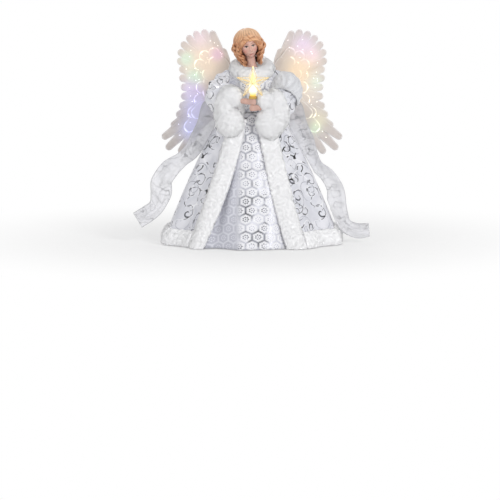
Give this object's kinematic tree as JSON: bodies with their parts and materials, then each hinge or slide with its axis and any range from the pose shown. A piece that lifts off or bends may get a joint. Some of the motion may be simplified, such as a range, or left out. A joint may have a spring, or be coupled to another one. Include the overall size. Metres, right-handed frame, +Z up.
{
  "type": "angel tree topper",
  "caption": "Angel doll tree topper on a hollow cone base, with a brocade gown, plush-trimmed robe, sheer scarf, folding light-up feather wings and a lit star held in both hands.",
  "frame": {"origin": "centre of the flat base rim, on the surface that the topper stands on, which is also the bottom centre of its box", "axes": "+Z up along the cone's axis; the figure faces -Y; +X towards the figure's own left hand"},
  "size_m": [0.3908, 0.2424, 0.3545],
  "materials": {
    "cone_plastic": "moulded white",
    "body_plastic": "moulded white",
    "skin_resin": "painted resin",
    "gown_brocade": "brocade with silver foil honeycomb",
    "robe_satin": "satin with silver foil scrolls",
    "plush": "white plush",
    "organza": "sheer with faint scrolls",
    "wing_film": "iridescent embossed film",
    "fibre": "clear light guide",
    "star_acrylic": "clear with gold edges",
    "bulb": "lit lamp",
    "steel": "zinc plated",
    "brass": "satin",
    "board": "solder mask",
    "black_plastic": "moulded black",
    "cell_jacket": "plain jacket",
    "lead_jacket": "soft white"
  },
  "bodies": {
    "figure": {"base_rim": "cone_plastic", "base_cone": "cone_plastic", "leader_socket": "cone_plastic", "waist_screw": "steel", "torso": "body_plastic", "neck_pin": "steel", "head": "skin_resin", "left_arm_wire": "steel", "right_arm_wire": "steel", "left_hand": "skin_resin", "right_hand": "skin_resin", "left_sleeve": "robe_satin", "right_sleeve": "robe_satin", "left_cuff": "plush", "right_cuff": "plush", "robe_left_front": "robe_satin", "robe_right_front": "robe_satin", "robe_back": "robe_satin", "left_front_trim": "plush", "right_front_trim": "plush", "hem_trim": "plush", "collar": "plush", "bodice": "gown_brocade", "gown_skirt": "gown_brocade", "sleeve_puff": "organza", "scarf": "organza", "star": "star_acrylic", "star_bulb": "bulb", "star_holder": "brass", "star_lead": "lead_jacket", "wing_bracket": "body_plastic", "bracket_cover": "body_plastic", "bracket_screw_low": "steel", "bracket_screw_high": "steel", "driver_board": "board", "power_lead": "lead_jacket", "left_hinge_pin": "steel", "right_hinge_pin": "steel", "battery_box": "black_plastic", "contact_plate_low": "steel", "contact_plate_high": "steel", "battery_1": "cell_jacket", "battery_2": "cell_jacket", "battery_3": "cell_jacket", "box_screw_low": "steel", "box_screw_high": "steel"},
    "left_wing": {"left_wing_root": "body_plastic", "left_wing_led": "bulb", "left_fibre_fan": "fibre", "left_wing_blade": "wing_film", "left_wing_coverts": "wing_film"},
    "right_wing": {"right_wing_root": "body_plastic", "right_wing_led": "bulb", "right_fibre_fan": "fibre", "right_wing_blade": "wing_film", "right_wing_coverts": "wing_film"},
    "battery_lid": {"battery_door": "black_plastic"},
    "switch_slider": {"power_switch": "body_plastic"}
  },
  "joints": [
    {"name": "left_wing_fold", "type": "hinge", "parent": "figure", "child": "left_wing", "pos_m": [0.024, 0.044, 0.249], "axis": [0, 0, 1], "range_deg": [0, 60]},
    {"name": "right_wing_fold", "type": "hinge", "parent": "figure", "child": "right_wing", "pos_m": [-0.024, 0.044, 0.249], "axis": [0, 0, -1], "range_deg": [0, 60]},
    {"name": "battery_lid_hinge", "type": "hinge", "parent": "figure", "child": "battery_lid", "pos_m": [0, 0.0604, 0.01145], "axis": [1, 0, 0], "range_deg": [0, 70]},
    {"name": "switch_slide", "type": "slide", "parent": "figure", "child": "switch_slider", "axis": [1, 0, 0], "range_m": [0, 0.004]}
  ]
}
